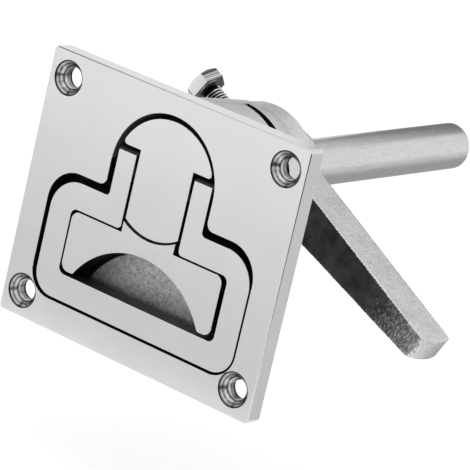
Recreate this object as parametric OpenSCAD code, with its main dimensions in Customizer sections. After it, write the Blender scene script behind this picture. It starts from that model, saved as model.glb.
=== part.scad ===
// Flush lift-and-turn hatch latch in cast and turned stainless steel.
// X runs to the right, Z up the face plate, Y from the face into the hatch along the rod.
// The origin is the centre of the four screws on the back of the face plate.

/* [Face plate] */
// Thickness of the face plate
plate_t = 4.5; // [3.5:0.1:6]
// Radius of the plate's corners
plate_corner_r = 1; // [0.5:0.1:3]
// Distance of the screws outside the recess's sides
screw_out_x = 1.5; // [1:0.1:4]
// Distance of the screws below the recess's foot
screw_out_z = 0.98; // [0.5:0.02:4]
// Distance from the screws to the plate's sides
screw_edge_x = 5.8; // [5:0.1:12]
// Distance from the screws to the plate's ends
screw_edge_z = 6.3; // [5:0.1:12]
// Diameter of the screw holes
screw_d = 5.3; // [4:0.1:5.5]
// Diameter of the countersinks at the face
countersink_d = 8.4; // [7:0.1:8.8]

/* [Handle] */
// Outside width of the handle's ring
handle_w = 60; // [56:0.5:61]
// Outside height of the handle's ring
handle_h = 28.8; // [26:0.2:29]
// Thickness of the handle, front to back
handle_t = 5; // [4.8:0.1:5.4]
// Width of the ring's bars
bar_w = 6.45; // [5:0.05:7]
// Outer radius of the ring's two upper corners
ring_top_r = 8; // [7:0.1:9]
// Outer radius of the ring's two lower corners
ring_low_r = 5.6; // [4:0.1:8]
// Inner radius of the ring's corners
ring_inner_r = 1.6; // [0.8:0.1:3]
// Width of each arm of the handle
arm_w = 5.3; // [4.5:0.1:5.6]
// Clear distance between the two arms
arm_gap = 17.3; // [16:0.1:18]
// Radius of the handle's corners between the arms and the ring's inside
arm_corner_r = 1.2; // [0.4:0.1:1.6]
// Height of the arms above the hinge pin
arm_end = 5.7; // [5:0.1:6]
// Radius of the arms' front edge at their ends
arm_nose_r = 1.4; // [0.6:0.1:2]
// Height from the ring's upper edge to the hinge pin
pin_rise = 6.8; // [6.6:0.1:7.5]
// Depth of the hinge pin behind the face
pin_depth = 2.9; // [2.7:0.1:3]
// Diameter of the hinge pin
hinge_pin_d = 3; // [2.4:0.1:3.4]

/* [Spindle] */
// Height of the spindle's axis above the middle of the plate
spindle_z = 12.4; // [11.5:0.1:13]
// Height of the hinge pin above the spindle's axis, less than zero for below
pin_above_axis = -1.6; // [-2:0.1:-1.2]
// Radius of the spindle's round head
head_r = 14.2; // [13.9:0.1:14.5]
// Length of the head, front to back
head_l = 13.9; // [13:0.1:15]
// Length of the boss behind the head
head_boss_l = 6.2; // [5:0.1:6.4]
// Radius of the head's corners above the handle's arms
head_corner_r = 0.9; // [0.4:0.1:1.4]
// Diameter of the rod
rod_d = 11.8; // [10:0.1:12.4]
// Length of the rod behind the housing
rod_l = 83; // [60:0.5:110]
// Bevel at the rod's end
rod_bevel = 0.6; // [0.2:0.1:1.2]
// Radius of the spindle's collar inside the housing
collar_r = 9; // [8:0.1:10]
// Diameter of the stop pin
stop_pin_d = 2; // [1.6:0.1:2.2]
// Quarter turn that the stop slot allows, in degrees
turn_angle = 88; // [60:1:88]
// Angle of the stop pin below level at rest, in degrees
stop_lean = 6; // [0:1:10]

/* [Casting] */
// Depth of the handle's recess behind the face
recess_depth = 6.2; // [5.9:0.1:7]
// Depth of the finger pocket behind the face
pocket_depth = 7.4; // [7:0.1:9]
// Radius of the finger pocket's arch
pocket_r = 22; // [20:0.2:24]
// Radius between the finger pocket's wall and its floor
pocket_round = 1.8; // [0.6:0.1:2.6]
// Depth of the arch's crown below the island's upper edge
pocket_crown = 3.85; // [3:0.05:5]
// Width of the island's feet beside the finger pocket
island_foot = 3.4; // [3:0.1:4]
// Radius at the tips of the island's feet, beside the finger pocket
foot_r = 0.9; // [0.4:0.1:1.2]
// Ledge left in the recess below the finger pocket
pocket_ledge = 1.6; // [1:0.1:2.4]
// Wall of the pan behind the recess
pan_wall = 2.2; // [1.6:0.1:2.6]
// Radius of the housing at the plate
housing_root_r = 19.2; // [18.2:0.1:20]
// Radius of the housing where its taper ends
housing_neck_r = 16.9; // [16.6:0.1:18]
// Depth behind the face where the taper ends
housing_neck = 30.5; // [29:0.5:33]
// Radius of the housing's rear collar
housing_rear_r = 16.2; // [15.4:0.1:16.6]
// Depth of the housing's rear face behind the face
housing_rear = 38; // [37.5:0.1:42]
// Thickness of the housing's rear wall, which carries the rod
rear_wall = 4.6; // [4:0.1:6]
// Bore of the housing behind the head
chamber_r = 12; // [11:0.1:12.6]
// Depth of the stop slot's middle behind the face
slot_depth = 24.4; // [24:0.1:25.5]

/* [Cam arm] */
// Angle of the arm below level, in degrees
arm_angle = 26; // [0:1:45]
// Reach of the arm from the rod's axis to its tip
arm_reach = 60.5; // [45:0.5:75]
// Width of the arm across the rod's axis
arm_root_w = 12.5; // [10:0.1:14]
// Width of the arm at its tip
arm_tip_w = 6.2; // [4:0.1:9]
// Thickness of the arm along the rod
arm_t = 11.1; // [9:0.1:12]
// Radius of the arm's rounded end, seen along its width
arm_end_r = 12; // [9:0.5:20]
// Radius of the arm's hub around the rod
hub_r = 10; // [9:0.1:11]
// Radius of the boss that takes the clamp bolt
boss_r = 5.2; // [4.5:0.1:5.4]
// Distance from the rod's axis to the end of the boss
boss_reach = 15.5; // [12:0.1:17]
// Nominal diameter of the clamp bolt
bolt_d = 5; // [4:0.1:6]
// Length of the clamp bolt under its head
bolt_l = 20; // [18:0.5:25]
// Width of the bolt's head across its flats
bolt_flats = 8.5; // [7:0.1:10]
// Angle that the bolt's head is turned to, in degrees
bolt_turn = 11; // [0:1:60]
// Height of the bolt's head
bolt_head_h = 3.5; // [2.8:0.1:4.5]

/* [Fits] */
// Gap between the handle's sides and the recess
gap_side = 0.8; // [0.6:0.05:1]
// Gap between the ring's shoulders and the recess
gap_top = 1.55; // [1.5:0.05:2]
// Gap between the ring's foot and the recess
gap_low = 0.92; // [0.7:0.02:1.5]
// Gap between the ring's sides and the island
gap_island_side = 0.85; // [0.6:0.05:1.2]
// Gap between the ring's bars and the island
gap_island_end = 0.62; // [0.5:0.02:0.9]
// Gap round the spindle's head
gap_head = 0.9; // [0.8:0.05:1.1]
// Gap between the arms and the tongue of the head
gap_tongue = 0.8; // [0.5:0.05:1]
// How far the moving parts sit right of the cast recess, by their play
play_x = 0.3; // [-0.3:0.05:0.3]
// How far the moving parts sit above the cast recess, by their play
play_z = -0.3; // [-0.3:0.05:0.3]
// Clearance of the handle's arms in the head as they swing
swing_gap = 0.45; // [0.3:0.05:0.6]
// Clearance round the stop pin in its slot
slot_gap = 0.2; // [0.15:0.05:0.3]
// Running clearance on a radius
running = 0.05; // [0.03:0.01:0.08]
// Clearance between faces that turn past each other
face_gap = 0.2; // [0.1:0.05:0.3]

/* [Hidden] */
$fn = 96;

// Depths are counted from the face, places along Y from the back of the plate
function at(depth) = depth - plate_t;
over = 1;
lap = 0.01;
edge_break = 0.5;

// Handle, about the spindle's axis
axis_x = play_x;
pin_z = spindle_z + pin_above_axis;
ring_top = pin_z - pin_rise;
ring_low = ring_top - handle_h;
arm_in = arm_gap / 2;
arm_out = arm_in + arm_w;
arm_top = pin_z + arm_end;
face_set = 0.1;
nose_reach = norm([pin_depth - face_set - arm_nose_r, arm_end - arm_nose_r]) + arm_nose_r;
slot_top = pin_z + nose_reach + swing_gap;
slot_floor = pin_depth + norm([face_set + handle_t - pin_depth, arm_end]) + swing_gap;
tongue_half = arm_in - gap_tongue;
arm_fillet = 0.9;
pin_set = 0.5;

// Cast recess, which the handle and the head sit in
recess_half = handle_w / 2 + gap_side;
recess_top = ring_top + gap_top - play_z;
recess_low = ring_low - gap_low - play_z;
well_r = head_r + gap_head;
well_z = spindle_z - play_z;
throat_fillet = 2;
screw_span_x = 2 * (recess_half + screw_out_x);
screw_span_z = 2 * (screw_out_z - recess_low);
plate_w = screw_span_x + 2 * screw_edge_x;
plate_h = screw_span_z + 2 * screw_edge_z;
island_half = handle_w / 2 - bar_w - gap_island_side;
island_top = ring_top - bar_w - gap_island_end - play_z;
island_low = ring_low + bar_w + gap_island_end - play_z;
island_r = 2.2;
horn_half = tongue_half;
horn_rise = 4;
arch_z = island_top - pocket_crown - pocket_r;
pocket_half = island_half - island_foot;
pocket_low = recess_low + pocket_ledge;
foot_rise = island_low + foot_r - arch_z;
foot_x = sqrt(pow(pocket_r + foot_r, 2) - pow(foot_rise, 2));

// Spindle and what it runs in
head_back = face_set + head_l;
head_corner_z = slot_top - spindle_z + head_corner_r;
head_corner_x = sqrt(pow(head_r - head_corner_r, 2) - pow(head_corner_z, 2));
seal_wire = 1.5;
seal_set = 0.3;
seat_depth = head_back + seal_wire;
boss_back = head_back + head_boss_l;
bore_start = head_back + over;
washer_t = 0.8;
collar_front = boss_back + washer_t + face_gap;
rear_seat = housing_rear - rear_wall;
spring_t = 0.9;
spring_lip = 0.5;
spring_gap = 0.3;
spring_in = rod_d / 2 + spring_gap;
collar_back = rear_seat - spring_t - face_gap;
rod_r = rod_d / 2;
stub_step = 0.8;
stub_r = rod_r - stub_step;
rod_end = housing_rear + rod_l;
neck_step = 1;
slot_w = stop_pin_d + 2 * slot_gap;
slot_margin = asin(slot_w / 2 / chamber_r);
pin_sink = 2;
pin_root = rod_r - pin_sink;
pin_reach = (housing_neck_r + housing_rear_r) / 2;

// Cam arm and its bolt
arm_front = housing_rear + face_gap;
arm_back = arm_front + arm_t;
arm_mid = (arm_front + arm_back) / 2;
bolt_tip = rod_r + 2 * running;
bolt_seat = bolt_tip + bolt_l;
arm_end_set = 1.5;
thread_bevel = 0.5;
bolt_corner_r = bolt_flats / 2 / cos(30);
bolt_crown_set = 0.2;
bolt_crown_r = bolt_flats / 2 - bolt_crown_set;
bolt_crown_angle = 30;

// Solid between two places along Y with the outline of its children in X and Z
module along_y(from, to) {
    translate([0, to, 0])
        rotate([90, 0, 0])
            linear_extrude(to - from) children();
}

// Solid of revolution about a line along Y, its profile as [radius, place] points
module turned(x, z) {
    translate([x, 0, z])
        rotate([-90, 0, 0])
            rotate_extrude() children();
}

// Rectangle between two corners, with one radius at the top and one at the foot
module rounded(x0, z0, x1, z1, r_top, r_low) {
    translate([x0, z0 + r_low])
        square([x1 - x0, z1 - z0 - r_low - r_top]);
    translate([x0 + r_top, z1 - r_top - lap])
        square([x1 - x0 - 2 * r_top, r_top + lap]);
    translate([x0 + r_low, z0])
        square([x1 - x0 - 2 * r_low, r_low + lap]);
    for (side = [0, 1]) {
        translate([side ? x1 - r_top : x0 + r_top, z1 - r_top]) circle(r_top);
        translate([side ? x1 - r_low : x0 + r_low, z0 + r_low]) circle(r_low);
    }
}

// Fillet in the inner corner at the origin, filling towards +X and +Z
module corner_fill(r) {
    difference() {
        translate([-lap, -lap]) square(r + lap);
        translate([r, r]) circle(r);
    }
}

// T-shaped outline of the recess, grown by a wall
module recess_outline(wall) {
    rounded(-recess_half - wall, recess_low - wall, recess_half + wall, recess_top + wall,
            ring_top_r + wall, ring_low_r + gap_side + wall);
    translate([0, well_z]) circle(well_r + wall);
    translate([-well_r - wall, recess_top - over])
        square([2 * (well_r + wall), well_z - recess_top + over]);
    for (side = [-1, 1])
        scale([side, 1])
            translate([well_r + wall, recess_top + wall]) corner_fill(throat_fillet);
}

// What is cut from the tip of the island's foot, beside the arch, to round it
module foot_corner() {
    inside = (pocket_r - over) / (pocket_r + foot_r);
    translate([0, arch_z])
        difference() {
            polygon([[foot_x, foot_rise], [foot_x, foot_rise - foot_r - over],
                     [foot_x * inside, foot_rise * inside]]);
            translate([foot_x, foot_rise]) circle(foot_r);
        }
}

// Island that the handle's ring closes round, with two horns beside the head
module island_outline() {
    difference() {
        union() {
            rounded(-island_half, island_low, island_half, island_top, island_r, island_r);
            translate([-horn_half, island_top - over]) square([2 * horn_half, horn_rise + over]);
        }
        translate([0, well_z]) circle(well_r);
        for (side = [-1, 1])
            scale([side, 1]) foot_corner();
    }
}

// Half-moon of the finger pocket, running on under the ring's lower bar, its floor's edge rounded
module pocket_form(front, depth, wall) {
    reach = pocket_r + wall;
    turn = pocket_round + wall;
    intersection() {
        turned(0, arch_z) {
            translate([0, front]) square([reach, at(depth) - turn - front]);
            translate([0, front]) square([reach - turn, at(depth) - front]);
            translate([reach - turn, at(depth) - turn]) circle(turn);
        }
        translate([-pocket_half - wall, front - over, pocket_low - wall])
            cube([2 * (pocket_half + wall), at(depth) - front + 2 * over,
                  arch_z + reach - pocket_low + wall + over]);
    }
}

module screw_hole() {
    turned(0, 0)
        polygon([[0, -plate_t - over], [countersink_d / 2 + over, -plate_t - over],
                 [screw_d / 2, (countersink_d - screw_d) / 2 - plate_t],
                 [screw_d / 2, over], [0, over]]);
}

module housing_solid() {
    turned(axis_x, spindle_z)
        polygon([[0, -over], [housing_root_r, -over], [housing_root_r, 0],
                 [housing_neck_r, at(housing_neck)], [housing_rear_r, at(housing_neck) + neck_step],
                 [housing_rear_r, at(housing_rear) - edge_break],
                 [housing_rear_r - edge_break, at(housing_rear)],
                 [0, at(housing_rear)]]);
}

// Well for the head, chamber for the spindle's collar and bearing for the rod
module housing_bore() {
    translate([0, 0, well_z])
        rotate([90, 0, 0])
            translate([0, 0, -at(seat_depth)])
                cylinder(r = well_r, h = seat_depth + over);
    turned(axis_x, spindle_z)
        polygon([[0, at(seat_depth) - over], [chamber_r, at(seat_depth) - over],
                 [chamber_r, at(rear_seat)], [rod_r + running, at(rear_seat)],
                 [rod_r + running, at(housing_rear) + over], [0, at(housing_rear) + over]]);
}

// Turns its children from level to the stop pin's place on the spindle's axis
module at_stop() {
    translate([axis_x, at(slot_depth), spindle_z])
        rotate([0, stop_lean, 0]) children();
}

module stop_slot() {
    at_stop()
        rotate([90, 0, 0])
            rotate([0, 0, -slot_margin])
                rotate_extrude(angle = turn_angle + 2 * slot_margin)
                    translate([chamber_r - over, -slot_w / 2])
                        square([housing_root_r - chamber_r + 2 * over, slot_w]);
}

module face_body() {
    color("gainsboro")
    difference() {
        union() {
            along_y(-plate_t, 0)
                rounded(-plate_w / 2, -plate_h / 2, plate_w / 2, plate_h / 2,
                        plate_corner_r, plate_corner_r);
            along_y(-over, at(recess_depth + pan_wall)) recess_outline(pan_wall);
            pocket_form(-over, pocket_depth + pan_wall, pan_wall);
            housing_solid();
        }
        along_y(-plate_t - over, at(recess_depth))
            difference() {
                recess_outline(0);
                island_outline();
            }
        pocket_form(-plate_t - over, pocket_depth, 0);
        housing_bore();
        stop_slot();
        for (x = [-1, 1])
            for (z = [-1, 1])
                translate([x * screw_span_x / 2, 0, z * screw_span_z / 2]) screw_hole();
    }
}

// Ring open between its two arms, seen from the front
module handle_outline() {
    difference() {
        union() {
            rounded(-handle_w / 2, ring_low, handle_w / 2, ring_top, ring_top_r, ring_low_r);
            for (side = [-1, 1])
                scale([side, 1]) {
                    translate([arm_in, ring_top - lap])
                        square([arm_w, arm_top - ring_top + lap]);
                    translate([arm_out, ring_top]) corner_fill(arm_fillet);
                }
        }
        rounded(bar_w - handle_w / 2, ring_low + bar_w, handle_w / 2 - bar_w,
                ring_top - bar_w, ring_inner_r, ring_inner_r);
        translate([-arm_in, ring_top - bar_w - over]) square([arm_gap, bar_w + 2 * over]);
        for (side = [-1, 1])
            scale([side, 1])
                translate([arm_in, ring_top - bar_w]) corner_fill(arm_corner_r);
    }
}

module pull_handle() {
    color("lightgray")
    difference() {
        translate([axis_x, 0, 0])
            along_y(at(face_set), at(face_set + handle_t)) handle_outline();
        translate([axis_x, at(pin_depth), pin_z])
            rotate([0, 90, 0])
                cylinder(d = hinge_pin_d + 2 * running, h = handle_w, center = true);
        translate([axis_x - handle_w / 2, at(face_set), arm_top])
            rotate([0, 90, 0])
                linear_extrude(handle_w) corner_fill(arm_nose_r);
    }
}

// What is cut from the head's corner above an arm to round it
module head_corner() {
    difference() {
        polygon([[head_corner_x, slot_top - spindle_z - over], [head_r + over, slot_top - spindle_z - over],
                 [head_r + over, (head_r + over) * head_corner_z / head_corner_x],
                 [head_corner_x, head_corner_z]]);
        translate([head_corner_x, head_corner_z]) circle(head_corner_r);
    }
}

module barrel_head() {
    color("lightgray")
    difference() {
        turned(axis_x, spindle_z)
            polygon([[0, at(face_set)], [head_r, at(face_set)], [head_r, at(head_back)],
                     [collar_r, at(head_back)], [collar_r, at(boss_back)], [0, at(boss_back)]]);
        for (side = [0, 1])
            translate([axis_x + (side ? tongue_half : -tongue_half - head_r), at(face_set) - over,
                       spindle_z - head_r - over])
                cube([head_r, slot_floor - face_set + over, slot_top - spindle_z + head_r + over]);
        translate([axis_x, 0, spindle_z])
            along_y(at(face_set) - over, at(slot_floor))
                for (side = [-1, 1])
                    scale([side, 1]) head_corner();
        translate([axis_x, at(pin_depth), pin_z])
            rotate([0, 90, 0])
                cylinder(d = hinge_pin_d, h = 2 * head_r, center = true);
        turned(axis_x, spindle_z)
            polygon([[0, at(bore_start)], [stub_r + running, at(bore_start)],
                     [stub_r + running, at(boss_back) + over], [0, at(boss_back) + over]]);
    }
}

module hinge_pin() {
    color("silver")
    translate([axis_x, at(pin_depth), pin_z])
        rotate([0, 90, 0])
            cylinder(d = hinge_pin_d, h = 2 * (arm_out - pin_set), center = true);
}

module seal_ring() {
    color("dimgray")
    turned(axis_x, spindle_z)
        translate([head_r - seal_wire / 2 - seal_set, at(head_back) + seal_wire / 2])
            circle(d = seal_wire);
}

module thrust_washer() {
    color("ivory")
    turned(axis_x, spindle_z)
        translate([stub_r + 2 * running, at(boss_back)])
            square([collar_r - stub_r - 2 * running, washer_t]);
}

module disc_spring() {
    color("silver")
    turned(axis_x, spindle_z)
        polygon([[spring_in, at(rear_seat) - spring_t], [spring_in + spring_lip, at(rear_seat) - spring_t],
                 [collar_r, at(rear_seat) - spring_lip], [collar_r, at(rear_seat)],
                 [collar_r - spring_lip, at(rear_seat)],
                 [spring_in, at(rear_seat) - spring_t + spring_lip]]);
}

module spindle() {
    color("silver")
    difference() {
        turned(axis_x, spindle_z)
            polygon([[0, at(bore_start) + face_gap], [stub_r, at(bore_start) + face_gap],
                     [stub_r, at(collar_front)],
                     [collar_r, at(collar_front)], [collar_r, at(collar_back)], [rod_r, at(collar_back)],
                     [rod_r, at(rod_end) - rod_bevel], [rod_r - rod_bevel, at(rod_end)],
                     [0, at(rod_end)]]);
        at_stop()
            translate([pin_root, 0, 0])
                rotate([0, 90, 0])
                    cylinder(d = stop_pin_d, h = collar_r);
    }
}

module stop_pin() {
    color("silver")
    at_stop()
        translate([pin_root, 0, 0])
            rotate([0, 90, 0])
                cylinder(d = stop_pin_d, h = pin_reach - pin_root);
}

// Turns its children from level to the arm's angle about the spindle's axis
module at_arm() {
    translate([axis_x, 0, spindle_z])
        rotate([0, arm_angle, 0]) children();
}

// Arm's outline seen from above, square at the rod and rounded at the end
module arm_plan() {
    end_x = arm_reach - arm_end_r;
    translate([-over, at(arm_front) - over, -arm_root_w])
        cube([end_x + over, arm_t + 2 * over, 2 * arm_root_w]);
    translate([end_x, at(arm_mid) + arm_end_set, 0])
        cylinder(r = arm_end_r, h = 2 * arm_root_w, center = true);
}

module cam_arm() {
    color("silver")
    difference() {
        at_arm() {
            along_y(at(arm_front), at(arm_back)) circle(hub_r);
            intersection() {
                along_y(at(arm_front), at(arm_back))
                    polygon([[0, -arm_root_w / 2], [arm_reach, -arm_tip_w / 2],
                             [arm_reach, arm_tip_w / 2], [0, arm_root_w / 2]]);
                arm_plan();
            }
            translate([-boss_reach, at(arm_mid), 0])
                rotate([0, 90, 0])
                    cylinder(r = boss_r, h = boss_reach);
        }
        turned(axis_x, spindle_z)
            translate([0, at(arm_front) - over])
                square([rod_r + running, arm_t + 2 * over]);
        at_arm()
            translate([-boss_reach - over, at(arm_mid), 0])
                rotate([0, 90, 0])
                    cylinder(d = bolt_d + 2 * running, h = boss_reach + over);
    }
}

// Hexagon head, its outer corners cut back by a cone
module bolt_head() {
    intersection() {
        cylinder(r = bolt_corner_r, h = bolt_head_h, $fn = 6);
        rotate_extrude()
            polygon([[0, -over], [bolt_corner_r + over, -over],
                     [bolt_corner_r + over,
                      bolt_head_h - (bolt_corner_r + over - bolt_crown_r) * tan(bolt_crown_angle)],
                     [bolt_crown_r, bolt_head_h], [0, bolt_head_h]]);
    }
}

module clamp_bolt() {
    color("whitesmoke")
    at_arm()
        translate([0, at(arm_mid), 0])
            rotate([0, -90, 0]) {
                rotate_extrude()
                    polygon([[0, bolt_tip], [bolt_d / 2 - thread_bevel, bolt_tip],
                             [bolt_d / 2, bolt_tip + thread_bevel], [bolt_d / 2, bolt_seat + over],
                             [0, bolt_seat + over]]);
                translate([0, 0, bolt_seat])
                    rotate(bolt_turn) bolt_head();
            }
}

face_body();
pull_handle();
barrel_head();
hinge_pin();
seal_ring();
thrust_washer();
disc_spring();
spindle();
stop_pin();
cam_arm();
clamp_bolt();
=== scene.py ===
import math

import bmesh
import bpy
from mathutils import Matrix, Vector, noise


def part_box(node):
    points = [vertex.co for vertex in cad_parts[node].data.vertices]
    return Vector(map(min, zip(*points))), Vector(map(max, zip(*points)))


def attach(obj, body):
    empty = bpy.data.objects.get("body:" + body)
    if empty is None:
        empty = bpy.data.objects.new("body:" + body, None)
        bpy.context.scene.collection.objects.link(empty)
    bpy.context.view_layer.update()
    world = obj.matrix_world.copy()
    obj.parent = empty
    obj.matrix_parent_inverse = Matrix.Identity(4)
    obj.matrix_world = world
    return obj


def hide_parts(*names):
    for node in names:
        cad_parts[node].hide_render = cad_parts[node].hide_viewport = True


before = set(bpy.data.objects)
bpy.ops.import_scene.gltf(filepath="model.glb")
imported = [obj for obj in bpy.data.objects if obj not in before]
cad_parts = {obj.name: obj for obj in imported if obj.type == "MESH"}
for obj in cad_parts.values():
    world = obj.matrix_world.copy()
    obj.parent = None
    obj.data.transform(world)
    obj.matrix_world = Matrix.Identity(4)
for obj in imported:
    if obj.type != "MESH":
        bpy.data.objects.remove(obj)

mm = 0.001
scene = bpy.context.scene
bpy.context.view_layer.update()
print("frame loaded,", len(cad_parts), "nodes")


# sRGB hex to the linear colour that the shaders take
def linearColour(hexText):
    parts = [int(hexText[i:i + 2], 16) / 255 for i in (1, 3, 5)]
    linear = [p / 12.92 if p <= 0.04045 else ((p + 0.055) / 1.055) ** 2.4 for p in parts]
    return (*linear, 1.0)


# adds a node, sets its properties, and sets or links its inputs
def addNode(tree, kind, inputs=None, **settings):
    node = tree.nodes.new(kind)
    for name, value in settings.items():
        setattr(node, name, value)
    for name, value in (inputs or {}).items():
        if isinstance(value, bpy.types.NodeSocket):
            tree.links.new(value, node.inputs[name])
        else:
            node.inputs[name].default_value = value
    return node


# material with one shader, and the object's own coordinates for its patterns
def startMaterial(name, shaderInputs):
    material = bpy.data.materials.new(name)
    material.use_nodes = True
    tree = material.node_tree
    tree.nodes.clear()
    shader = addNode(tree, "ShaderNodeBsdfPrincipled", shaderInputs)
    addNode(tree, "ShaderNodeOutputMaterial", {"Surface": shader.outputs["BSDF"]})
    place = addNode(tree, "ShaderNodeTexCoord").outputs["Object"]
    return material, tree, shader, place


# camera, where the photograph was taken from
camera = {
    "place": (415.73, -584.81, 204.60),     # mm
    "right": (0.77109, 0.59688, 0.22169),
    "up": (-0.33835, 0.08917, 0.93679),
    "focalPixels": 3245.4,                  # for an image 470 pixels wide
    "imageWidth": 470,
    "sensor": 36.0,
    "clip": (0.05, 20.0),                   # m
}


def makeCamera():
    lens = bpy.data.cameras.new("photoCamera")
    lens.sensor_width = camera["sensor"]
    lens.lens = camera["sensor"] * camera["focalPixels"] / camera["imageWidth"]
    lens.clip_start, lens.clip_end = camera["clip"]
    holder = bpy.data.objects.new("photoCamera", lens)
    right = Vector(camera["right"]).normalized()
    up = Vector(camera["up"]).normalized()
    turn = Matrix((right, up, right.cross(up))).transposed().to_4x4()
    holder.matrix_world = Matrix.Translation(Vector(camera["place"]) * mm) @ turn
    scene.collection.objects.link(holder)
    scene.camera = holder


makeCamera()
scene.view_settings.view_transform = "Standard"
print("camera placed")


# studio: pale floor, white surroundings and cards outside the picture, which only the metal mirrors
studio = {
    "floorDrop": 34,                # mm from the plate's lower edge to the floor
    "floorSize": 8000,
    "floorColour": "#FBFBFB",
    "floorGlow": 0.13,
    "lamps": (
        # name, place mm, size mm, watts
        ("overheadLamp", (250, -250, 800), 450, 0.3),
        ("sideLamp", (-600, -350, 350), 450, 0.1),
    ),
    "cards": (
        # name, glow at the corner and at the end of the other side, corner mm, one side mm, other side mm
        ("rodCard", 0.14, 0.14, (-158, 300, 0), (175, 0, 0), (0, 0, 172)),
        ("rodMat", 0.44, 0.44, (-190, 70, -65), (280, 0, 0), (0, 300, 0)),
        ("edgeMat", 0.78, 0.78, (92, 60, -65), (400, 0, 0), (0, 500, 0)),
        ("blackMat", 0.02, 0.02, (190, -330, -64), (350, 0, 0), (0, 350, 0)),
        ("sideCard", 0.02, 0.02, (120, -330, -64), (270, 300, 0), (0, 0, 90)),
        ("frontMat", 0.8, 1.0, (-500, -90, -65), (540, 0, 0), (0, -170, 0)),
        ("overCard", 0.02, 0.02, (-420, -330, 300), (150, 0, 43), (0, 480, 60)),
    ),
}


def flatPiece(name, corner, sideA, sideB):
    corner, sideA, sideB = (Vector(v) * mm for v in (corner, sideA, sideB))
    mesh = bpy.data.meshes.new(name)
    mesh.from_pydata([corner, corner + sideA, corner + sideA + sideB, corner + sideB], [], [(0, 1, 2, 3)])
    piece = bpy.data.objects.new(name, mesh)
    scene.collection.objects.link(piece)
    return piece


# matt paper, which glows a little so that the floor stays white
def mattPaper(name, colour, glow):
    inputs = {"Base Color": linearColour(colour), "Roughness": 0.9, "Specular IOR Level": 0.1,
              "Emission Strength": glow, "Emission Color": (1, 1, 1, 1)}
    return startMaterial(name, inputs)[0]


# card whose glow changes evenly from its corner to the end of its other side
def glowCard(name, glowStart, glowEnd, corner, side):
    corner, side = Vector(corner) * mm, Vector(side) * mm
    inputs = {"Base Color": (0, 0, 0, 1), "Specular IOR Level": 0.0, "Emission Color": (1, 1, 1, 1)}
    material, tree, shader, place = startMaterial(name, inputs)
    offset = addNode(tree, "ShaderNodeVectorMath", {0: place, 1: corner}, operation="SUBTRACT")
    reach = addNode(tree, "ShaderNodeVectorMath", {0: offset.outputs["Vector"],
                                                   1: side / side.length_squared}, operation="DOT_PRODUCT")
    glow = addNode(tree, "ShaderNodeMapRange", {"Value": reach.outputs["Value"], "To Min": glowStart,
                                                "To Max": glowEnd})
    tree.links.new(glow.outputs["Result"], shader.inputs["Emission Strength"])
    return material


def makeStudio():
    size = studio["floorSize"]
    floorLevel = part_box("face_body")[0].z / mm - studio["floorDrop"]
    floor = flatPiece("studioFloor", (-size / 2, -size / 2, floorLevel), (size, 0, 0), (0, size, 0))
    floor.data.materials.append(mattPaper("matt paper floor", studio["floorColour"], studio["floorGlow"]))
    for name, glowStart, glowEnd, corner, sideA, sideB in studio["cards"]:
        card = flatPiece(name, corner, sideA, sideB)
        card.data.materials.append(glowCard(name + " paper", glowStart, glowEnd, corner, sideB))
        card.visible_camera = False
        card.visible_diffuse = False
        card.visible_shadow = False

    world = bpy.data.worlds.new("whiteStudio")
    scene.world = world
    world.use_nodes = True
    tree = world.node_tree
    tree.nodes.clear()
    sky = addNode(tree, "ShaderNodeBackground", {"Color": (1, 1, 1, 1), "Strength": 1.0})
    addNode(tree, "ShaderNodeOutputWorld", {"Surface": sky.outputs["Background"]})

    for name, place, size, watts in studio["lamps"]:
        light = bpy.data.lights.new(name, "AREA")
        light.shape = "DISK"
        light.size = size * mm
        light.energy = watts
        lamp = bpy.data.objects.new(name, light)
        lamp.location = Vector(place) * mm
        lamp.rotation_euler = (-lamp.location).to_track_quat("-Z", "Y").to_euler()
        scene.collection.objects.link(lamp)


makeStudio()
print("studio lit")


# polished stainless steel: mirror-like with faint polishing haze
def polishedStainless(name, colours, roughness, lineSpacing):
    hazeSize = 9 * mm
    lineLength = 25         # times their spacing
    lineDepth = 0.02 * mm
    material, tree, shader, place = startMaterial(name, {"Metallic": 1.0})
    haze = addNode(tree, "ShaderNodeTexNoise", {"Vector": place, "Scale": 1 / hazeSize, "Detail": 3.0})
    tone = addNode(tree, "ShaderNodeMix", {0: haze.outputs["Fac"], 6: linearColour(colours[0]),
                                           7: linearColour(colours[1])}, data_type="RGBA")
    tree.links.new(tone.outputs[2], shader.inputs["Base Color"])
    # polishing lines along X, drawn coarser than the real ones so that they show
    stretch = addNode(tree, "ShaderNodeMapping", {"Vector": place, "Scale": (1 / lineLength, 1.0, 1.0)})
    lines = addNode(tree, "ShaderNodeTexNoise", {"Vector": stretch.outputs["Vector"],
                                                 "Scale": 1 / (lineSpacing * mm), "Detail": 2.0})
    gloss = addNode(tree, "ShaderNodeMapRange", {"Value": lines.outputs["Fac"], "To Min": roughness[0],
                                                 "To Max": roughness[1]})
    tree.links.new(gloss.outputs["Result"], shader.inputs["Roughness"])
    bump = addNode(tree, "ShaderNodeBump", {"Height": lines.outputs["Fac"], "Strength": 0.04,
                                            "Distance": lineDepth})
    tree.links.new(bump.outputs["Normal"], shader.inputs["Normal"])
    return material


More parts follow.
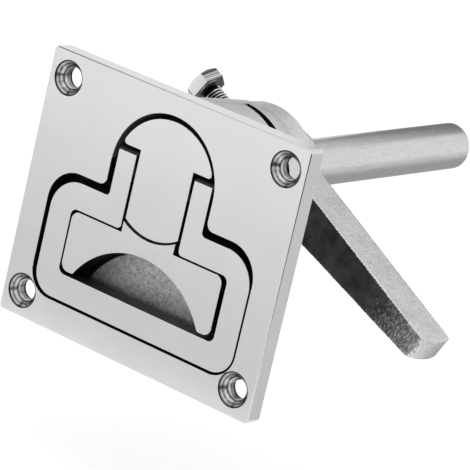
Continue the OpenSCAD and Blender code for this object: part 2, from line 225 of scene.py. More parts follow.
# cast stainless steel: matt grains left by the mould and the blasting, light grains between dark ones
def castStainless(name, colours, roughness, grit, depth, contrast=0.5, blotchSize=5.0):
    material, tree, shader, place = startMaterial(name, {"Metallic": 1.0})
    blotch = addNode(tree, "ShaderNodeTexNoise", {"Vector": place, "Scale": 1 / (blotchSize * mm),
                                                  "Detail": 4.0})
    grain = addNode(tree, "ShaderNodeTexNoise", {"Vector": place, "Scale": 1 / (grit * mm), "Detail": 2.0,
                                                 "Roughness": 0.6})
    hard = addNode(tree, "ShaderNodeMapRange", {"Value": grain.outputs["Fac"], "From Min": 0.3,
                                                "From Max": 0.7})
    mixed = addNode(tree, "ShaderNodeMix", {0: contrast, 2: blotch.outputs["Fac"],
                                            3: hard.outputs["Result"]})
    tone = addNode(tree, "ShaderNodeMix", {0: mixed.outputs[0], 6: linearColour(colours[0]),
                                           7: linearColour(colours[1])}, data_type="RGBA")
    tree.links.new(tone.outputs[2], shader.inputs["Base Color"])
    gloss = addNode(tree, "ShaderNodeMapRange", {"Value": grain.outputs["Fac"], "To Min": roughness[0],
                                                 "To Max": roughness[1]})
    tree.links.new(gloss.outputs["Result"], shader.inputs["Roughness"])
    bump = addNode(tree, "ShaderNodeBump", {"Height": grain.outputs["Fac"], "Strength": 0.6,
                                            "Distance": depth * mm})
    tree.links.new(bump.outputs["Normal"], shader.inputs["Normal"])
    return material


# painted shade: one tone, patchy, giving way to another along one direction, the change ragged with grains
# that a drag draws out
def shadeFade(name, startTones, endTones, along, span, grit, spread, drag=Vector((0, 0, 0))):
    blotchSize = 4 * mm
    grainDepth = 0.08 * mm
    soft = 0.6              # how gently the one tone gives way to the other
    material, tree, shader, place = startMaterial(name, {"Metallic": 1.0, "Roughness": 0.5})
    dragged = addNode(tree, "ShaderNodeVectorMath", {0: place, 1: drag}, operation="DOT_PRODUCT")
    drawn = addNode(tree, "ShaderNodeVectorMath", {0: drag, "Scale": dragged.outputs["Value"]},
                    operation="SCALE")
    short = addNode(tree, "ShaderNodeVectorMath", {0: place, 1: drawn.outputs["Vector"]},
                    operation="SUBTRACT")
    grain = addNode(tree, "ShaderNodeTexNoise", {"Vector": short.outputs["Vector"], "Scale": 1 / (grit * mm),
                                                 "Detail": 2.0})
    reach = addNode(tree, "ShaderNodeVectorMath", {0: place, 1: along}, operation="DOT_PRODUCT")
    fadeShare = addNode(tree, "ShaderNodeMapRange", {"Value": reach.outputs["Value"], "From Min": span[0] * mm,
                                                "From Max": span[1] * mm, "To Min": -0.5, "To Max": 1.0})
    ragged = addNode(tree, "ShaderNodeMath", {0: grain.outputs["Fac"], 1: spread, 2: fadeShare.outputs["Result"]},
                     operation="MULTIPLY_ADD")
    endShare = addNode(tree, "ShaderNodeMapRange", {"Value": ragged.outputs[0], "From Min": spread * 0.5,
                                                "From Max": spread * 0.5 + soft})
    blotch = addNode(tree, "ShaderNodeTexNoise", {"Vector": place, "Scale": 1 / blotchSize, "Detail": 5.0})
    patchy = addNode(tree, "ShaderNodeMapRange", {"Value": blotch.outputs["Fac"], "From Min": 0.3,
                                                  "From Max": 0.7})
    # the painted shade's tones at the start of the span, patchy, and at its end, grainy
    dark = addNode(tree, "ShaderNodeMix", {0: patchy.outputs["Result"], 6: linearColour(startTones[0]),
                                           7: linearColour(startTones[1])}, data_type="RGBA")
    light = addNode(tree, "ShaderNodeMix", {0: grain.outputs["Fac"], 6: linearColour(endTones[0]),
                                            7: linearColour(endTones[1])}, data_type="RGBA")
    tone = addNode(tree, "ShaderNodeMix", {0: endShare.outputs["Result"], 6: dark.outputs[2],
                                           7: light.outputs[2]}, data_type="RGBA")
    tree.links.new(tone.outputs[2], shader.inputs["Base Color"])
    bump = addNode(tree, "ShaderNodeBump", {"Height": grain.outputs["Fac"], "Strength": 0.6,
                                            "Distance": grainDepth})
    tree.links.new(bump.outputs["Normal"], shader.inputs["Normal"])
    return material


# countersink: painted reflection rings round each screw hole, with painted shade darkest at the rim and the
# back
def paintedCountersink(name, colours, roughness, screws, ringSpacing, rim, back):
    wearSize = 1.2 * mm
    ringStrength = 0.28
    material, tree, shader, place = startMaterial(name, {"Metallic": 1.0, "Roughness": roughness})
    # all four holes fold onto one, whose middle is the screw's place
    folded = addNode(tree, "ShaderNodeVectorMath", {0: place}, operation="ABSOLUTE")
    screw = (screws[0] * mm, 0, screws[1] * mm)
    offset = addNode(tree, "ShaderNodeVectorMath", {0: folded.outputs["Vector"], 1: screw},
                     operation="SUBTRACT")
    flat = addNode(tree, "ShaderNodeVectorMath", {0: offset.outputs["Vector"], 1: (1, 0, 1)},
                   operation="MULTIPLY")
    spoke = addNode(tree, "ShaderNodeVectorMath", {0: flat.outputs["Vector"]}, operation="LENGTH")
    radius = spoke.outputs["Value"]
    depth = addNode(tree, "ShaderNodeSeparateXYZ", {"Vector": place}).outputs["Y"]
    along = addNode(tree, "ShaderNodeMath", {0: radius, 1: depth}, operation="SUBTRACT")
    # rings of painted reflection along the countersink
    turns = addNode(tree, "ShaderNodeMath", {0: along.outputs[0], 1: 2 * math.pi / (ringSpacing * mm)},
                    operation="MULTIPLY")
    rings = addNode(tree, "ShaderNodeMath", {0: turns.outputs[0]}, operation="SINE")
    wear = addNode(tree, "ShaderNodeTexNoise", {"Vector": place, "Scale": 1 / wearSize, "Detail": 3.0})
    streak = addNode(tree, "ShaderNodeMath", {0: rings.outputs[0], 1: ringStrength, 2: wear.outputs["Fac"]},
                     operation="MULTIPLY_ADD")
    tone = addNode(tree, "ShaderNodeMix", {0: streak.outputs[0], 6: linearColour(colours[0]),
                                           7: linearColour(colours[1])}, data_type="RGBA")
    # painted shade at the rim and at the back of the hole
    edge = addNode(tree, "ShaderNodeMapRange", {"Value": radius, "From Min": rim[0] * mm,
                                                "From Max": rim[1] * mm})
    backShade = addNode(tree, "ShaderNodeMapRange", {"Value": depth, "From Min": back[0] * mm,
                                                  "From Max": back[1] * mm})
    darkest = addNode(tree, "ShaderNodeMath", {0: edge.outputs["Result"], 1: backShade.outputs["Result"]},
                      operation="MAXIMUM")
    shade = addNode(tree, "ShaderNodeMix", {0: darkest.outputs[0], 6: tone.outputs[2],
                                            7: linearColour(colours[2])}, data_type="RGBA")
    tree.links.new(shade.outputs[2], shader.inputs["Base Color"])
    return material


# cut thread: bright crests over grooves in painted shade
def threadedStainless(name, colours, roughness, axisPoint, axis, grooves):
    material, tree, shader, place = startMaterial(name, {"Metallic": 1.0, "Roughness": roughness})
    offset = addNode(tree, "ShaderNodeVectorMath", {0: place, 1: axisPoint}, operation="SUBTRACT")
    across = addNode(tree, "ShaderNodeVectorMath", {0: offset.outputs["Vector"], 1: axis},
                     operation="CROSS_PRODUCT")
    radius = addNode(tree, "ShaderNodeVectorMath", {0: across.outputs["Vector"]}, operation="LENGTH")
    crest = addNode(tree, "ShaderNodeMapRange", {"Value": radius.outputs["Value"],
                                                 "From Min": grooves[0] * mm, "From Max": grooves[1] * mm})
    tone = addNode(tree, "ShaderNodeMix", {0: crest.outputs["Result"], 6: linearColour(colours[0]),
                                           7: linearColour(colours[1])}, data_type="RGBA")
    tree.links.new(tone.outputs[2], shader.inputs["Base Color"])
    return material


# drawn stainless bar: fine lines along the bar in a satin, slightly mottled skin
def drawnStainless(name, colours, roughness):
    lineSpacing = 0.4 * mm  # drawn coarser than the real lines, so that they show
    lineLength = 12.5       # times their spacing
    mottleSize = 0.7 * mm
    lineDepth = 0.03 * mm
    material, tree, shader, place = startMaterial(name, {"Metallic": 1.0})
    stretch = addNode(tree, "ShaderNodeMapping", {"Vector": place, "Scale": (1.0, 1 / lineLength, 1.0)})
    lines = addNode(tree, "ShaderNodeTexNoise", {"Vector": stretch.outputs["Vector"],
                                                 "Scale": 1 / lineSpacing, "Detail": 3.0})
    mottle = addNode(tree, "ShaderNodeTexNoise", {"Vector": place, "Scale": 1 / mottleSize, "Detail": 3.0})
    mixed = addNode(tree, "ShaderNodeMix", {0: 0.5, 2: lines.outputs["Fac"], 3: mottle.outputs["Fac"]})
    tone = addNode(tree, "ShaderNodeMix", {0: mixed.outputs[0], 6: linearColour(colours[0]),
                                           7: linearColour(colours[1])}, data_type="RGBA")
    tree.links.new(tone.outputs[2], shader.inputs["Base Color"])
    gloss = addNode(tree, "ShaderNodeMapRange", {"Value": lines.outputs["Fac"], "To Min": roughness[0],
                                                 "To Max": roughness[1]})
    tree.links.new(gloss.outputs["Result"], shader.inputs["Roughness"])
    bump = addNode(tree, "ShaderNodeBump", {"Height": mixed.outputs[0], "Strength": 0.25,
                                            "Distance": lineDepth})
    tree.links.new(bump.outputs["Normal"], shader.inputs["Normal"])
    return material


# painted reflection on a hexagon flat: bands along it, darkest at the end of the head
def paintedReflectionBands(name, dark, bright, roughness, along, span, band):
    material, tree, shader, place = startMaterial(name, {"Metallic": 1.0, "Roughness": roughness})
    reach = addNode(tree, "ShaderNodeVectorMath", {0: place, 1: along}, operation="DOT_PRODUCT")
    height = reach.outputs["Value"]
    level = addNode(tree, "ShaderNodeMapRange", {"Value": height, "From Min": span[0] * mm,
                                                 "From Max": span[1] * mm})
    lines = addNode(tree, "ShaderNodeTexNoise", {"W": height, "Scale": 1 / (band * mm), "Detail": 1.0},
                    noise_dimensions="1D")
    contrast = addNode(tree, "ShaderNodeMapRange", {"Value": lines.outputs["Fac"], "From Min": 0.35,
                                                    "From Max": 0.65, "To Min": -0.4, "To Max": 0.4})
    mixed = addNode(tree, "ShaderNodeMath", {0: level.outputs["Result"], 1: contrast.outputs["Result"]},
                    operation="ADD", use_clamp=True)
    tone = addNode(tree, "ShaderNodeMix", {0: mixed.outputs[0], 6: linearColour(dark),
                                           7: linearColour(bright)}, data_type="RGBA")
    tree.links.new(tone.outputs[2], shader.inputs["Base Color"])
    return material


# rubber and nylon inside: plain moulded surfaces with a slight bloom
def mouldedPlastic(name, colours, roughness):
    bloomSize = 2 * mm
    material, tree, shader, place = startMaterial(name, {"Metallic": 0.0, "Roughness": roughness})
    bloom = addNode(tree, "ShaderNodeTexNoise", {"Vector": place, "Scale": 1 / bloomSize, "Detail": 3.0})
    tone = addNode(tree, "ShaderNodeMix", {0: bloom.outputs["Fac"], 6: linearColour(colours[0]),
                                           7: linearColour(colours[1])}, data_type="RGBA")
    tree.links.new(tone.outputs[2], shader.inputs["Base Color"])
    return material


# places that the patterns follow, mm
screwPlaces = (32.3, 26.4)
rodAxis = Vector((0.3, 0.0, 12.4))
armAngle = math.radians(26.0)
armAlong = Vector((math.cos(armAngle), 0.0, -math.sin(armAngle)))
boltMiddle = 39.25
armAcross = Vector((math.sin(armAngle), 0.0, math.cos(armAngle)))
armStart = armAlong.dot(rodAxis)        # the rod's axis, measured along the arm

# the first line of each function names what the numbers are; lengths are in mm
finishes = {
    "face": polishedStainless("polished cast stainless", ("#D1D1D0", "#D9D9D8"), (0.16, 0.24), 0.3),
    "handle": polishedStainless("polished stainless handle", ("#D2D2D1", "#DADAD9"), (0.14, 0.22), 0.3),
    # recess walls, well, chamber and stop slot: painted shade on a matt as-cast surface
    "recess": castStainless("as-cast recess", ("#1E1E1E", "#3A3A39"), (0.5, 0.65), 0.4, 0.05),
    "pocket": castStainless("rough cast pocket", ("#080808", "#F0F0EE"), (0.45, 0.65), 0.42, 0.14,
                            contrast=0.42, blotchSize=1.3),
    # housing: blasted grain, with painted shade, darker to the left and lighter to the right
    "housing": shadeFade("blasted cast stainless, painted shade to the left", ("#ACACAA", "#C6C6C4"), ("#C6C6C4", "#EAEAE8"), (1, 0, 0),
                        (-3, 11), 0.5, 0.6),
    "arm": castStainless("blasted cast arm", ("#ACACAA", "#F0F0EE"), (0.36, 0.5), 0.5, 0.08, contrast=0.6),
    # front faces of the arm: dark painted shade, patchy, giving way near the tip to cast grains dragged
    # across the arm
    "armFrontShade": shadeFade("arm front, painted shade", ("#343434", "#545453"), ("#3E3E3D", "#D0D0CE"), armAlong,
                        (armStart + 34, armStart + 70), 0.34, 1.3, drag=armAcross * 0.8),
    # rounded ends of the handle's arms: painted shade, near black toward the top
    "nose": shadeFade("handle nose, painted shade toward the top", ("#CCCCCB", "#D8D8D7"), ("#060606", "#4C4C4C"),
                     (0, 0, 1), (14.7, 15.9), 0.26, 0.9),
    # countersinks: painted reflection rings and painted shade
    "drilled": paintedCountersink("countersink, painted reflection rings and shade", ("#1E1E1D", "#E2E2E0", "#060606"), 0.24, screwPlaces,
                                1.5, (3.65, 4.1), (-1.4, -0.4)),
    "rod": drawnStainless("drawn stainless bar", ("#ACACAB", "#EEEEED"), (0.26, 0.36)),
    "turned": drawnStainless("turned stainless pin", ("#BEBEBD", "#CCCCCB"), (0.2, 0.3)),
    "bolt": polishedStainless("bright stainless bolt", ("#DADAD9", "#EEEEED"), (0.14, 0.24), 0.25),
    # the bolt's top flat: painted reflection bands
    "boltFlatReflection": paintedReflectionBands("bolt top flat, painted reflection", "#2A2A2A", "#D6D6D5", 0.25, armAlong,
                                (armStart - 29.4, armStart - 26.2), 0.55),
    # upper side of the handle's bar: painted shade
    "barTopShade": castStainless("handle bar top, painted shade", ("#2E2E2D", "#6C6C6B"), (0.45, 0.6), 0.5, 0.04),
    # flanks of the handle and the head: ground metal, toned darker as painted shade of the grooves
    "flank": castStainless("ground flank, painted groove shade", ("#5E5E5D", "#828281"), (0.32, 0.45), 0.4, 0.02),
    # underside of the bolt's head and its washer: painted shade
    "boltUnderShade": castStainless("bolt underside, painted shade", ("#383837", "#8A8A89"), (0.35, 0.5), 0.5, 0.03),
    "thread": threadedStainless("cut stainless thread", ("#101010", "#E0E0DF"), 0.2,
                                (rodAxis + Vector((0, boltMiddle, 0))) * mm, armAlong, (2.2, 2.42)),
    "rubber": mouldedPlastic("nitrile rubber", ("#161616", "#222222"), 0.65),
    "nylon": mouldedPlastic("natural nylon", ("#DEDBCF", "#E8E6DC"), 0.5),
}
print("materials made")


# how closely the CAD meshes are joined
joining = {
    "weld": 0.002,          # mm
    "cut": 0.001,           # mm
    "flatAngle": 0.3,       # degrees between triangles of one flat face
    "frontTurn": -0.99,     # Y of the direction of a face that looks forwards
}


# copy of a CAD node's mesh: front faces are split at the cuts, then triangles join where the test allows
def cadCopy(nodeName, cuts=(), allow=None):
    weld = joining["weld"] * mm
    work = bmesh.new()
    work.from_mesh(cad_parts[nodeName].data)
    bmesh.ops.remove_doubles(work, verts=work.verts, dist=weld)
    planes = [(Vector(normal), place * mm) for normal, place in cuts]
    for normal, place in planes:
        front = [face for face in work.faces if face.normal.y < joining["frontTurn"]]
        # dictionaries keep the order, so that each run gives the same mesh
        edges = list(dict.fromkeys(edge for face in front for edge in face.edges))
        verts = list(dict.fromkeys(vert for face in front for vert in face.verts))
        bmesh.ops.bisect_plane(work, geom=verts + edges + front, dist=joining["cut"] * mm,
                               plane_co=normal * place, plane_no=normal)

    def joins(edge):
        onCut = any(all(abs(vert.co.dot(normal) - place) < weld for vert in edge.verts)
                    for normal, place in planes)
        return not onCut and (allow is None or allow(edge))

    bmesh.ops.dissolve_limit(work, angle_limit=math.radians(joining["flatAngle"]), verts=[],
                             edges=[edge for edge in work.edges if joins(edge)],
                             use_dissolve_boundaries=False, delimit=set())
    return work


# rounds the outer edges sharper than an angle, where the test allows
def roundEdges(work, width, sharper=28, segments=3, allow=None):
    picked = []
    for edge in work.edges:
        if len(edge.link_faces) != 2:
            continue
        if edge.calc_face_angle_signed(0.0) < math.radians(sharper):
            continue
        middle = (edge.verts[0].co + edge.verts[1].co) / (2 * mm)
        if allow is None or allow(middle):
            picked.append(edge)
    bmesh.ops.bevel(work, geom=picked, offset=width * mm, offset_type="OFFSET", segments=segments,
                    profile=0.5, affect="EDGES", clamp_overlap=False, loop_slide=True, material=-1)


# turns the work into a piece with even shading, sharp only past an angle, that rides on its body
def finishPiece(work, name, materials, body, nodeName, smoothTo=40):
    work.normal_update()
    for edge in work.edges:
        edge.smooth = edge.calc_face_angle(0.0) < math.radians(smoothTo)
    for face in work.faces:
        face.smooth = True
    mesh = bpy.data.meshes.new(name)
    work.to_mesh(mesh)
    work.free()
    for material in materials:
        mesh.materials.append(material)
    piece = bpy.data.objects.new(name, mesh)
    scene.collection.objects.link(piece)
    even = piece.modifiers.new("evenShading", "WEIGHTED_NORMAL")
    even.keep_sharp = True
    made = bpy.data.meshes.new_from_object(piece.evaluated_get(bpy.context.evaluated_depsgraph_get()))
    piece.modifiers.remove(even)
    piece.data = made
    made.name = name
    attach(piece, body)
    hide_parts(nodeName)


# cast face: polished front and sides, recess, well, chamber and slot in painted shade, rough finger pocket,
# blasted back with painted shade to the left
castFace = {
    # outline of the recess, its well and the island's arch, mm
    "recessHalf": 30.8,
    "recessTop": 5.85,
    "recessLow": -25.42,
    "shoulder": 2.2,        # how far the recess rises past its top at the rounded shoulders
    "wellCentre": 12.7,
    "wellRadius": 15.1,
    "archCentre": -28.62,
    "archRadius": 22.0,
    # depths along Y, mm
    "frontLevel": -4.2,     # what lies in front of this is the polished front
    "seat": 0.0,            # the back of the plate
    "wallDepth": 0.6,       # middles of the recess's own walls lie in front of this
    "pocketFloor": 2.9,
    "pocketRound": 0.4,
    "frontPart": 3.0,       # what lies in front of this is the plate with its recess
    "recessDepth": 3.2,
    "wellDepth": 12.0,
    "slotMiddle": 19.9,
    "slotHalf": 1.25,
    "rearWall": 33.0,
    # widths and radii, mm
    "plateHalf": (38.1, 32.7),
    "rimBand": 1.2,
    "countersink": 4.2,
    "chamber": 12.1,
    "slotReach": 18.5,
    "slack": 0.08,          # how far a face's middle may lie past a limit
    "neckSlack": 0.4,
    # how far a face turns to the front or the back, where 1 is fully
    "flatTurn": 0.95,
    "floorTurn": 0.8,
    "sideTurn": 0.5,
    "wallTurn": 0.3,
    # rounded edges, mm and degrees, and how far they stay in front of the seat
    "recessEdge": 0.12,
    "recessClear": 0.5,
    "rimEdge": 0.4,
    "rimClear": 1.0,
    "rimSharper": 60,
}
faceLayers = ("face", "recess", "pocket", "housing", "drilled")


def nearRim(x, z):
    half, band = castFace["plateHalf"], castFace["rimBand"]
    return abs(x) > half[0] - band or abs(z) > half[1] - band


# which of the layers a face of the casting takes, from its middle and its direction
def faceFinish(centre, normal):
    x, y, z = centre
    turn = normal[1]        # -1 looks forwards, 1 backwards
    slack = castFace["slack"]
    fromAxis = math.hypot(x - rodAxis.x, z - rodAxis.z)
    fromScrew = math.hypot(abs(x) - screwPlaces[0], abs(z) - screwPlaces[1])
    inDrilling = fromScrew < castFace["countersink"] + slack and y < castFace["seat"] + slack
    if inDrilling and abs(turn) < castFace["flatTurn"]:
        return "drilled"
    onSide = abs(turn) < castFace["sideTurn"] and y < castFace["seat"] and nearRim(x, z)
    if (turn < -castFace["sideTurn"] and y < castFace["frontLevel"]) or onSide:
        return "face"
    inTrough = (abs(x) < castFace["recessHalf"] + slack
                and castFace["recessLow"] - slack < z < castFace["recessTop"] + castFace["shoulder"])
    onFloor = turn < -castFace["floorTurn"] and abs(y - castFace["pocketFloor"]) < castFace["pocketRound"]
    if inTrough and onFloor:
        return "pocket"
    inWell = math.hypot(x, z - castFace["wellCentre"]) < castFace["wellRadius"] + slack
    inNeck = (abs(x) < castFace["wellRadius"] + castFace["neckSlack"]
              and castFace["recessTop"] < z < castFace["wellCentre"])
    inArch = math.hypot(x, z - castFace["archCentre"]) < castFace["archRadius"] + slack
    wallTurn = castFace["wallTurn"]
    inside = y < castFace["wallDepth"] or turn < -wallTurn or inArch
    # the recess walls and the well take painted shade
    if turn < wallTurn and (inWell or inTrough or inNeck) and inside and y < castFace["recessDepth"]:
        return "recess"
    inSlot = (abs(y - castFace["slotMiddle"]) < castFace["slotHalf"] and fromAxis < castFace["slotReach"]
              and abs(turn) > wallTurn)
    inChamber = fromAxis < castFace["chamber"] and y < castFace["rearWall"]
    # the chamber, the stop slot and the deep well take painted shade, so that the slit reads black
    if y > castFace["frontPart"] and (inChamber or inSlot or (inWell and y < castFace["wellDepth"])):
        return "recess"
    return "housing"


def makeFace():
    cuts = [((1, 0, 0), x) for x in (-screwPlaces[0], 0, screwPlaces[0])]
    cuts += [((0, 0, 1), z) for z in (-screwPlaces[1], screwPlaces[1])]

    def inFront(edge):
        return (all(vert.co.y < castFace["frontPart"] * mm for vert in edge.verts)
                and all(face.normal.y < castFace["sideTurn"] for face in edge.link_faces))

    work = cadCopy("face_body", cuts, inFront)
    for face in work.faces:
        face.material_index = faceLayers.index(faceFinish(face.calc_center_median() / mm, face.normal))

    def onRecess(place):
        return place.y < castFace["seat"] - castFace["recessClear"] and not nearRim(place.x, place.z)

    def onFrontRim(place):
        return place.y < castFace["seat"] - castFace["rimClear"] and nearRim(place.x, place.z)

    roundEdges(work, castFace["recessEdge"], allow=onRecess)
    roundEdges(work, castFace["rimEdge"], sharper=castFace["rimSharper"], allow=onFrontRim)
    layers = [finishes[key] for key in faceLayers]
    finishPiece(work, "castFace", layers, "latch_body", "face_body")


makeFace()
print("cast face made")


# folding handle and slotted head: polished fronts, ground flanks toned darker as painted groove shade, and
# the handle's noses and bar top in painted shade
groundSided = {
    "frontLevel": -4.2,     # mm, what lies in front of this is polished
    "frontTurn": -0.95,     # Y of the direction of a face that looks forwards
    "noseFrom": 14.95,      # mm, height where the rounded ends of the handle's arms start
    "noseTurn": -0.05,      # Y of the direction of the nose's faces, at most
    "barTurn": 0.5,         # Z of the direction of the upper side of the handle's bar, at least
    "edge": 0.16,           # mm
}
groundLayers = ("handle", "flank", "nose", "barTopShade")


# which of the layers a face of the handle or the head takes
def groundFinish(centre, normal, onHandle):
    if centre.y < groundSided["frontLevel"] and normal.y < groundSided["frontTurn"]:
        return "handle"
    # the rounded ends of the handle's arms take painted shade
    if onHandle and centre.z > groundSided["noseFrom"] and normal.y < groundSided["noseTurn"]:
        return "nose"
    if onHandle and normal.z > groundSided["barTurn"] and centre.z < 0:
        return "barTopShade"
    return "flank"


def makeGroundSided(name, nodeName, body):
    work = cadCopy(nodeName)
    for face in work.faces:
        finish = groundFinish(face.calc_center_median() / mm, face.normal, nodeName == "pull_handle")
        face.material_index = groundLayers.index(finish)
    roundEdges(work, groundSided["edge"])
    layers = [finishes[key] for key in groundLayers]
    finishPiece(work, name, layers, body, nodeName)


makeGroundSided("foldingHandle", "pull_handle", "handle")
makeGroundSided("slottedHead", "barrel_head", "latch_body")


# rod: drawn bar with a broken edge at its end
rodBar = {
    "edge": 0.3,            # mm
}


def makeRod():
    work = cadCopy("spindle")
    roundEdges(work, rodBar["edge"])
    finishPiece(work, "rodBar", [finishes["rod"]], "spindle_rod", "spindle")


makeRod()
print("handle, head and rod made")


# clamp arm: cast, so its faces wander a little and its edges are worn round
clampArm = {
    "grain": 0.4,           # mm between the points of its surface
    "smoothing": 0.5,
    "wander": 0.14,         # mm that the cast faces wander
    "wave": 5.0,            # mm from one swell to the next
    "fineWaves": 3,         # small swells, half as high, in the length of a large one
    "boreClear": 6.8,       # mm round the rod's axis that stays true
    "boreFade": 6,          # mm over which the wandering sets in
    "shadeTurn": -0.6,       # how far a face turns to the front before it has the painted shade
    "ragged": 0.3,          # how much that limit wanders
    "raggedWave": 0.9,      # mm from one of its waves to the next
    "edge": 0.35,           # mm
}


def makeArm():
    work = cadCopy("cam_arm")
    roundEdges(work, clampArm["edge"])
    mesh = bpy.data.meshes.new("clampArm")
    work.to_mesh(mesh)
    work.free()
    block = bpy.data.objects.new("armBlock", mesh)
    scene.collection.objects.link(block)
    remesh = block.modifiers.new("castGrain", "REMESH")
    remesh.mode = "VOXEL"
    remesh.voxel_size = clampArm["grain"] * mm
    made = bpy.data.meshes.new_from_object(block.evaluated_get(bpy.context.evaluated_depsgraph_get()))
    bpy.data.objects.remove(block)
    work = bmesh.new()
    work.from_mesh(made)
    bmesh.ops.smooth_vert(work, verts=work.verts, factor=clampArm["smoothing"], use_axis_x=True,
                          use_axis_y=True, use_axis_z=True)
    fineWave = clampArm["wave"] / clampArm["fineWaves"]
    for vert in work.verts:
        place = vert.co / mm
        fromRod = math.hypot(place.x - rodAxis.x, place.z - rodAxis.z)
        fade = min(1.0, max(0.0, (fromRod - clampArm["boreClear"]) / clampArm["boreFade"]))
        swell = noise.noise(place / clampArm["wave"]) + 0.5 * noise.noise(place / fineWave)
        vert.co -= vert.normal * (0.5 + 0.5 * swell) * clampArm["wander"] * fade * mm
    # faces turned to the front, past a ragged limit, take the painted shade
    for face in work.faces:
        ragged = noise.noise(face.calc_center_median() / (clampArm["raggedWave"] * mm)) * clampArm["ragged"]
        face.material_index = 1 if face.normal.y < clampArm["shadeTurn"] + ragged else 0
    finishPiece(work, "clampArm", [finishes["arm"], finishes["armFrontShade"]], "arm", "cam_arm")


makeArm()
print("clamp arm made")


# hexagon clamp bolt, built along its own axis from the rod outwards
hexBolt = {
    # lengths from the rod's axis and radii, mm
    "tip": 6.0,
    "tipTaper": 0.8,        # radius at the tip as a share of the core's
    "tipLength": 0.5,
    "seat": 26.0,
    "washerRadius": 3.85,
    "washerHeight": 0.3,
    "headHeight": 3.5,
    "flats": 8.5,
    "turn": 11.0,           # degrees
    "crownSet": 0.2,
    "crownAngle": 30.0,     # degrees
    "cornerBreak": 0.12,
    "cornerSharper": 35,    # degrees
    "smoothTo": 30,         # degrees
    "sides": 72,
    # thread, mm
    "pitch": 0.8,
    "threadRadius": 2.5,
    "coreRadius": 2.08,
    "ridgeHalf": 0.46,      # half of the ridge's foot as a share of the pitch
    "ridgeSteps": 36,       # in each turn
    "threadInset": 0.8,     # from the tip and from the seat
    # where the finishes change
    "slack": 0.05,
    "shadeHeight": 0.6,      # mm of the head that can have the painted shade
    "shadeTurn": -0.6,       # how far a face turns to the tip before it has that painted shade
    "flatTurn": 0.5,        # how far a face turns up before it has the painted reflection bands
    "crownTurn": 0.9,
}
boltLayers = ("bolt", "boltUnderShade", "thread", "boltFlatReflection")


# helical ridge of the thread as a node tree
def threadTree():
    tree = bpy.data.node_groups.new("threadRidge", "GeometryNodeTree")
    tree.interface.new_socket("Geometry", in_out="OUTPUT", socket_type="NodeSocketGeometry")
    sockets = {}
    for label in ("turns", "radius", "length", "halfWidth", "ridgeDepth", "finish"):
        kind = "NodeSocketMaterial" if label == "finish" else "NodeSocketFloat"
        sockets[label] = tree.interface.new_socket(label, in_out="INPUT", socket_type=kind).identifier
    given = addNode(tree, "NodeGroupInput").outputs
    spiral = addNode(tree, "GeometryNodeCurveSpiral", {"Resolution": hexBolt["ridgeSteps"],
                                                       "Rotations": given["turns"],
                                                       "Start Radius": given["radius"],
                                                       "End Radius": given["radius"],
                                                       "Height": given["length"]})
    upright = addNode(tree, "GeometryNodeSetCurveNormal", {"Curve": spiral.outputs["Curve"]}, mode="Z_UP")
    ridge = addNode(tree, "GeometryNodeCurvePrimitiveQuadrilateral", {"Width": given["ridgeDepth"],
                                                                      "Bottom Height": given["halfWidth"],
                                                                      "Top Height": given["halfWidth"]},
                    mode="KITE")
    swept = addNode(tree, "GeometryNodeCurveToMesh", {"Curve": upright.outputs["Curve"],
                                                      "Profile Curve": ridge.outputs["Curve"],
                                                      "Fill Caps": True})
    whole = addNode(tree, "GeometryNodeRealizeInstances", {"Geometry": swept.outputs["Mesh"]})
    dressed = addNode(tree, "GeometryNodeSetMaterial", {"Geometry": whole.outputs["Geometry"],
                                                        "Material": given["finish"]})
    addNode(tree, "NodeGroupOutput", {"Geometry": dressed.outputs["Geometry"]})
    return tree, sockets


# plain mesh of the ridge, in its place along the bolt
def threadMesh():
    tree, sockets = threadTree()
    holder = bpy.data.objects.new("threadHolder", bpy.data.meshes.new("threadHolder"))
    scene.collection.objects.link(holder)
    length = hexBolt["seat"] - hexBolt["tip"] - 2 * hexBolt["threadInset"]
    values = {
        "turns": length / hexBolt["pitch"],
        "radius": hexBolt["coreRadius"] * mm,
        "length": length * mm,
        "halfWidth": hexBolt["pitch"] * hexBolt["ridgeHalf"] * mm,
        "ridgeDepth": 2 * (hexBolt["threadRadius"] - hexBolt["coreRadius"]) * mm,
        "finish": finishes["thread"],
    }
    winder = holder.modifiers.new("threadRidge", "NODES")
    winder.node_group = tree
    for label, value in values.items():
        winder[sockets[label]] = value
    mesh = bpy.data.meshes.new_from_object(holder.evaluated_get(bpy.context.evaluated_depsgraph_get()))
    holder.modifiers.remove(winder)
    bpy.data.objects.remove(holder)
    mesh.transform(Matrix.Translation((0, 0, (hexBolt["tip"] + hexBolt["threadInset"]) * mm)))
    return mesh


# angles, and the radii and heights of each ring of points, from the bolt's tip to the top of its head
def boltRings():
    sides, turn = hexBolt["sides"], hexBolt["turn"]
    halfFlat = hexBolt["flats"] / 2
    crown = halfFlat - hexBolt["crownSet"]
    tip, seat = hexBolt["tip"], hexBolt["seat"]
    top = seat + hexBolt["headHeight"]
    under = seat + hexBolt["washerHeight"]
    core, washer = hexBolt["coreRadius"], hexBolt["washerRadius"]
    slope = math.tan(math.radians(hexBolt["crownAngle"]))
    angles = [turn + 360 * i / sides for i in range(sides)]
    hexagon = [halfFlat / math.cos(math.radians((angle - turn) % 60 - 30)) for angle in angles]

    def circle(radius, height):
        return [radius] * sides, [height] * sides

    rings = [
        circle(hexBolt["tipTaper"] * core, tip),
        circle(core, tip + hexBolt["tipLength"]),
        circle(core, seat),
        circle(washer, seat),
        circle(washer, under),
        (hexagon, [under] * sides),
        (hexagon, [top - (radius - crown) * slope for radius in hexagon]),
        circle(crown, top),
    ]
    return angles, rings


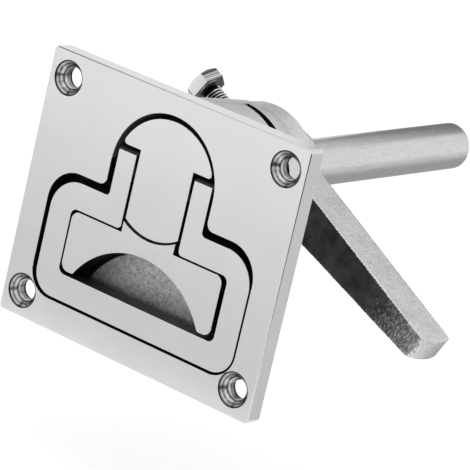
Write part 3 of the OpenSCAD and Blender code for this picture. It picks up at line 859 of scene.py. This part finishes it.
# which of the layers a face of the plain bolt takes, from its height along the axis and its direction
def boltFinish(height, normal):
    seat, slack = hexBolt["seat"], hexBolt["slack"]
    # faces under the head, turned to the tip, take painted shade
    if seat - slack < height < seat + hexBolt["shadeHeight"] and normal.z < hexBolt["shadeTurn"]:
        return "boltUnderShade"
    if height > seat and normal.x > hexBolt["flatTurn"] and abs(normal.z) < hexBolt["crownTurn"]:
        return "boltFlatReflection"
    return "thread" if height < seat - slack else "bolt"


def makeBolt():
    work = bmesh.new()
    angles, rings = boltRings()
    loops = []
    for radii, heights in rings:
        loop = []
        for angle, radius, height in zip(angles, radii, heights):
            turn = math.radians(angle)
            place = (radius * math.cos(turn) * mm, radius * math.sin(turn) * mm, height * mm)
            loop.append(work.verts.new(place))
        loops.append(loop)
    for low, high in zip(loops, loops[1:]):
        for i in range(len(angles)):
            j = (i + 1) % len(angles)
            work.faces.new((low[i], low[j], high[j], high[i]))
    work.faces.new(loops[-1])
    work.faces.new(list(reversed(loops[0])))
    roundEdges(work, hexBolt["cornerBreak"], sharper=hexBolt["cornerSharper"], segments=2)
    for face in work.faces:
        finish = boltFinish(face.calc_center_median().z / mm, face.normal)
        face.material_index = boltLayers.index(finish)
    firstRidge = len(work.faces)
    work.from_mesh(threadMesh())
    work.faces.ensure_lookup_table()
    for face in work.faces[firstRidge:]:
        face.material_index = boltLayers.index("thread")
    # from its own axis to its place across the rod
    place = (Matrix.Translation((rodAxis + Vector((0, boltMiddle, 0))) * mm)
             @ Matrix.Rotation(armAngle, 4, "Y") @ Matrix.Rotation(math.radians(-90), 4, "Y"))
    bmesh.ops.transform(work, matrix=place, verts=work.verts)
    layers = [finishes[key] for key in boltLayers]
    finishPiece(work, "hexBolt", layers, "bolt", "clamp_bolt", smoothTo=hexBolt["smoothTo"])


makeBolt()
print("clamp bolt made")


# inner pieces keep their CAD shape and take a finish
innerPieces = {
    "hinge_pin": "turned",
    "stop_pin": "turned",
    "disc_spring": "turned",
    "seal_ring": "rubber",
    "thrust_washer": "nylon",
}
for nodeName, finish in innerPieces.items():
    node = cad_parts[nodeName]
    node.data.materials.clear()
    node.data.materials.append(finishes[finish])
print("inner pieces finished")
